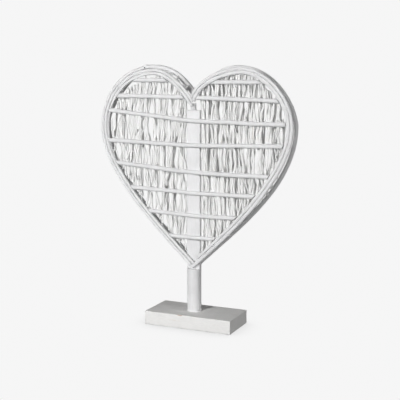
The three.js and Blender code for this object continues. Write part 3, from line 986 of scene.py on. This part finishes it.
class Stem:
    """A twig given by its place at each level. A prong is tied to another stem at its fork."""

    def __init__(self, group, points, radius, lane, parent, sway):
        self.group = group
        self.radius = radius
        self.lane = lane
        self.parent = parent
        points = sorted(points, key=lambda p: p[2])
        xs, ys, zs = np.array(points).T
        self.fork_z = None
        self.first = int(np.searchsorted(LEVELS, zs[0]))
        self.last = int(np.searchsorted(LEVELS, zs[-1]))
        levels = LEVELS[self.first:self.last]
        below = levels[0] - SMOOTHING * LEVEL_PITCH
        above = levels[-1] + (SMOOTHING + 0.5) * LEVEL_PITCH
        padded = np.arange(below, above, LEVEL_PITCH)
        kernel = np.hanning(2 * SMOOTHING + 3)[1:-1]
        kernel /= kernel.sum()
        slope_first = (xs[1] - xs[0]) / (zs[1] - zs[0])
        slope_last = (xs[-1] - xs[-2]) / (zs[-1] - zs[-2])
        line = np.interp(padded, zs, xs)
        line = np.where(padded < zs[0], xs[0] + slope_first * (padded - zs[0]), line)
        line = np.where(padded > zs[-1], xs[-1] + slope_last * (padded - zs[-1]), line)
        smooth = np.convolve(line, kernel, "valid")[: len(levels)]
        bends = [sway * wander(z / BEND_LENGTH, lane) for z in levels]
        kinks = [KINK_SHARE * sway * wander(z / KINK_LENGTH, lane + KINK_LANE) for z in levels]
        depths = [DEPTH_SHARE * sway * wander(z / DEPTH_LENGTH, lane + DEPTH_LANE) for z in levels]
        self.x = smooth + np.add(bends, kinks)
        self.y = np.interp(levels, zs, ys) + depths


def settle(stems):
    """Pushes the stems of one side apart until they lie beside and behind each other."""
    count = len(stems)
    xs = np.zeros((count, len(LEVELS)))
    ys = np.zeros((count, len(LEVELS)))
    present = np.zeros((count, len(LEVELS)), dtype=bool)
    radii = np.array([stem.radius for stem in stems])
    for i, stem in enumerate(stems):
        xs[i, stem.first:stem.last] = stem.x
        ys[i, stem.first:stem.last] = stem.y
        present[i, stem.first:stem.last] = True
    apart = (radii[:, None] + radii[None, :] + STEM_GAP)[:, :, None]
    pairs = present[:, None, :] & present[None, :, :]
    pairs[np.arange(count), np.arange(count), :] = False
    for i, stem in enumerate(stems):
        if stem.parent is not None:
            j = stems.index(stem.parent)
            near = np.abs(LEVELS - stem.fork_z) < FORK_ROOM
            pairs[i, j, near] = False
            pairs[j, i, near] = False
    start_x = xs.copy()
    start_y = ys.copy()
    weights = present.astype(float)
    for _ in range(SETTLE_ROUNDS):
        dx = xs[:, None, :] - xs[None, :, :]
        dy = ys[:, None, :] - ys[None, :, :]
        distance = np.sqrt(dx * dx + dy * dy) + TINY
        press = np.where(pairs, np.clip(apart - distance, 0.0, None), 0.0) * PRESS / distance
        shift_x = xs + SIDEWAYS_YIELD * (press * dx).sum(axis=1) - start_x
        shift_y = ys + (press * dy).sum(axis=1) - start_y
        for shift in (shift_x, shift_y):
            shift *= weights
            total = weights.copy()
            spread = shift.copy()
            spread[:, 1:] += shift[:, :-1]
            spread[:, :-1] += shift[:, 1:]
            total[:, 1:] += weights[:, :-1]
            total[:, :-1] += weights[:, 1:]
            shift[:] = 0.5 * shift + 0.5 * spread / np.maximum(total, 1.0)
        xs = start_x + SPRING_BACK * shift_x
        ys = start_y + SPRING_BACK * shift_y
        ys = np.clip(ys, TWIG_FRONT_Y + radii[:, None], TWIG_BACK_Y - radii[:, None])
        xs = np.maximum(xs, TWIG_POST_X + radii[:, None])
    for i, stem in enumerate(stems):
        stem.x = xs[i, stem.first:stem.last]
        stem.y = ys[i, stem.first:stem.last]
    for stem in stems:
        if stem.parent is None:
            continue
        parent = stem.parent
        levels = LEVELS[stem.first:stem.last]
        parent_levels = LEVELS[parent.first:parent.last]
        ease = np.array([smoothstep(abs(z - stem.fork_z), 0.0, FORK_EASE) for z in levels])
        stem.x = ease * stem.x + (1.0 - ease) * np.interp(levels, parent_levels, parent.x)
        stem.y = ease * stem.y + (1.0 - ease) * np.interp(levels, parent_levels, parent.y)


TWIG_SIDES = 9
TWIG_ROUGHNESS = 0.12
TWIG_KNOT_SPACING = 26.0
TWIG_SWELLING = 0.2
TWIG_UNEVENNESS = 0.25
TWIG_UNEVEN_LENGTH = 40.0
TWIG_UNEVEN_LANE = 6.1


def stem_shell(stem, side):
    levels = LEVELS[stem.first:stem.last]
    route = np.column_stack([side * stem.x, stem.y, levels])
    stops = levels - levels[0]
    radii = knotted(stem.radius, stops, stem.lane, TWIG_KNOT_SPACING, TWIG_SWELLING)
    slow_lane = stem.lane + TWIG_UNEVEN_LANE
    radii = radii * [1.0 + TWIG_UNEVENNESS * wander(stop / TWIG_UNEVEN_LENGTH, slow_lane) for stop in stops]
    return tube(route, radii, TWIG_SIDES, TWIG_ROUGHNESS, stem.lane)


def make_stem(stems, group, points, radius, lane, parent=None, sway=TWIG_SWAY):
    stem = Stem(group, points, radius, lane, parent, sway)
    if parent is not None:
        stem.fork_z = points[0][2]
    stems.append(stem)
    return stem


TWIG_LANE = 60.0
TWIG_LANE_STEP = 7.3
LAYER_LANES = {"front": 0.0, "back": 2.1}
SIDE_LANES = {"left": 0.9, "right": 0.0}
CROSSING_LANE = 0.31
FORK_LANE = 0.57


def solid_stems(side, side_name):
    """The twigs that the solids have, in the order of their random numbers."""
    stems = []
    for layer, layer_y, slots in TWIG_LAYERS:
        width = (TWIG_OUTER_X - TWIG_INNER_X) / slots
        for slot in range(slots):
            centre = TWIG_INNER_X + width * (slot + 0.5)
            front_radius = TWIG_RADIUS_MIN + TWIG_RADIUS_SPREAD * sequence.next()
            back_radius = TWIG_PAIR_RADII - front_radius
            swing = width / 2 - max(front_radius, back_radius) - CLEARANCE / 2
            start_side = -1 if sequence.next() < 0.5 else 1
            front_y = layer_y + front_radius
            back_y = front_y + TWIG_CROSSING * TWIG_PAIR_RADII
            front = twig_points(side, centre, swing, front_y, start_side)
            back = twig_points(side, centre, swing, back_y, -start_side)
            fork = fork_points(side, front, centre, swing)
            group = f"twigs_{side_name}_{layer}_{slot + 1}"
            lane = TWIG_LANE + TWIG_LANE_STEP * slot + LAYER_LANES[layer] + SIDE_LANES[side_name]
            thickness = TWIG_THICKNESS[side, layer]
            fork_radius = FORK_THINNING * thickness * front_radius
            stem = make_stem(stems, group, front, thickness * front_radius, lane)
            make_stem(stems, group, back, thickness * back_radius, lane + CROSSING_LANE)
            make_stem(stems, group, fork, fork_radius, lane + FORK_LANE, parent=stem)
    return stems


FILLER_LANE = 200.0
FILLER_LANE_STEP = 1.37
FILLER_SIDE_LANES = {"left": 0.45, "right": 0.0}
PRONG_LANE = 0.71


def filler_stems(side, side_name, chance):
    """Thin twigs from edge to edge at scattered places and depths, some of them with a prong."""
    stems = []
    count = FILLER_TWIGS[side_name]
    inner = TWIG_INNER_X + FILLER_MARGIN
    outer = TWIG_OUTER_X - FILLER_MARGIN
    for number in range(count):
        radius = FILLER_RADIUS_MIN + FILLER_RADIUS_SPREAD[side_name] * chance.random()
        stop = number + FILLER_SCATTER * chance.random() - FILLER_SCATTER_BACK
        start_x = inner + (outer - inner) * stop / count
        start_x = min(max(start_x, inner), outer)
        end_x = start_x + chance.gauss(-FILLER_INWARDS[side_name], FILLER_LEAN)
        end_x = min(max(end_x, inner), outer)
        depth = chance.random() ** FILLER_FORWARDS[side_name]
        y = TWIG_FRONT_Y + radius + (TWIG_BACK_Y - TWIG_FRONT_Y - 2 * radius) * depth
        bottom = lower_z(side, start_x) + TWIG_TRIM * (chance.random() - 0.5)
        top = upper_z(side, end_x) + TWIG_TRIM * (chance.random() - 0.5)
        points = [(start_x, y, bottom), (end_x, y, top)]
        group = f"fine_twigs_{side_name}_{1 + number // FILLER_GROUP}"
        lane = FILLER_LANE + FILLER_LANE_STEP * number + FILLER_SIDE_LANES[side_name]
        stem = make_stem(stems, group, points, radius, lane, sway=FILLER_SWAY)
        if chance.random() < PRONG_SHARE:
            share = PRONG_FROM + PRONG_SPAN * chance.random()
            fork = (start_x + (end_x - start_x) * share, y, bottom + (top - bottom) * share)
            way = chance.choice((-1, 1))
            prong_x = end_x + way * (PRONG_SPREAD_MIN + PRONG_SPREAD * chance.random())
            prong_x = min(max(prong_x, inner), outer)
            prong_z = upper_z(side, prong_x) + TWIG_TRIM * (chance.random() - 0.5)
            prong = [fork, (prong_x, y, prong_z)]
            prong_radius = FORK_THINNING * radius
            make_stem(stems, group, prong, prong_radius, lane + PRONG_LANE, parent=stem, sway=FILLER_SWAY)
    return stems


chance = random.Random(FILLER_SEED)
for side, side_name in ((LEFT, "left"), (RIGHT, "right")):
    solid = solid_stems(side, side_name)
    filler = filler_stems(side, side_name, chance)
    settle(solid + filler)
    if side == RIGHT:
        points = [(x, STUB_TWIG_Y, z) for x, z in (STUB_TWIG_FOOT, STUB_TWIG_TIP)]
        make_stem(filler, filler[0].group, points, STUB_TWIG_RADIUS, STUB_TWIG_LANE, sway=0.0)
    groups = {}
    for stem in solid + filler:
        groups.setdefault(stem.group, []).append(stem_shell(stem, side))
    for group, shells in groups.items():
        nodes = [group] if group in frame["nodes"] else []
        piece(group, shells, twig_paint, nodes)


# Floor and backdrop: one even pale tone with a soft shade where the foot stands.
CONTACT_DISTANCE = 0.05
CONTACT_TONE = 0.8
CONTACT_FULL = 0.35
CONTACT_NONE = 0.95


def plain_tone(name, has_contact):
    material = bpy.data.materials.new(name)
    material.use_nodes = True
    tree = material.node_tree
    tree.nodes.remove(tree.nodes["Principled BSDF"])
    glow = tree.nodes.new("ShaderNodeEmission")
    glow.inputs["Color"].default_value = (BACKDROP_TONE, BACKDROP_TONE, BACKDROP_TONE, 1.0)
    if has_contact:
        shade = tree.nodes.new("ShaderNodeAmbientOcclusion")
        shade.inputs["Distance"].default_value = CONTACT_DISTANCE
        tone = ramp_node(tree, shade.outputs["AO"], [
            (CONTACT_FULL, (CONTACT_TONE * BACKDROP_TONE,) * 3),
            (CONTACT_NONE, (BACKDROP_TONE,) * 3),
        ])
        tree.links.new(tone, glow.inputs["Color"])
    tree.links.new(glow.outputs["Emission"], tree.nodes["Material Output"].inputs["Surface"])
    return material


def stage_object(name, points, faces, material):
    mesh = bpy.data.meshes.new(name)
    mesh.from_pydata(points, [], faces)
    mesh.materials.append(material)
    made = bpy.data.objects.new(name, mesh)
    bpy.context.scene.collection.objects.link(made)
    made.visible_diffuse = False
    made.visible_glossy = False
    made.visible_transmission = False
    made.visible_shadow = False


FLOOR_HALF = 12.0
WALL_BOTTOM = -1.0
WALL_HEIGHT = 12.0
floor_signs = ((-1, -1), (1, -1), (1, 1), (-1, 1))
floor_corners = [(FLOOR_HALF * x, FLOOR_HALF * y) for x, y in floor_signs]
floor_points = [(x, y, 0.0) for x, y in floor_corners]
stage_object("floor", floor_points, [(0, 1, 2, 3)], plain_tone("pale_floor", True))
wall_points = [(x, y, z) for z in (WALL_BOTTOM, WALL_HEIGHT) for x, y in floor_corners]
wall_faces = [(i, (i + 1) % 4, 4 + (i + 1) % 4, 4 + i) for i in range(4)] + [(4, 5, 6, 7)]
stage_object("backdrop", wall_points, wall_faces, plain_tone("pale_backdrop", False))


def studio_light(name, azimuth, elevation, strength, size, distance):
    data = bpy.data.lights.new(name, "AREA")
    data.shape = "SQUARE"
    data.size = size
    data.energy = math.pi**2 * strength * distance**2
    lamp = bpy.data.objects.new(name, data)
    turn = math.radians(azimuth)
    rise = math.radians(elevation)
    aim = Vector((0.0, 0.0, LIGHT_AIM_Z))
    towards = Vector((math.cos(rise) * math.sin(turn), -math.cos(rise) * math.cos(turn), math.sin(rise)))
    lamp.location = aim + distance * towards
    lamp.rotation_euler = towards.to_track_quat("Z", "Y").to_euler()
    lamp.visible_camera = False
    bpy.context.scene.collection.objects.link(lamp)


studio_light("key_light", **KEY_LIGHT)
studio_light("front_light", **FRONT_LIGHT)
studio_light("fill_light", **FILL_LIGHT)
studio_light("back_light", **BACK_LIGHT)

world = bpy.data.worlds.new("studio")
world.use_nodes = True
world.node_tree.nodes["Background"].inputs["Color"].default_value = (AMBIENT, AMBIENT, AMBIENT, 1.0)
bpy.context.scene.world = world
bpy.context.scene.view_settings.view_transform = "Standard"

camera_data = bpy.data.cameras.new("camera")
camera_data.lens = CAMERA_LENS
camera_data.sensor_width = SENSOR_WIDTH
camera = bpy.data.objects.new("camera", camera_data)
camera.location = CAMERA_PLACE
camera.rotation_euler = (math.radians(90.0 - CAMERA_ELEVATION), 0.0, math.radians(CAMERA_AZIMUTH))
bpy.context.scene.collection.objects.link(camera)
bpy.context.scene.camera = camera
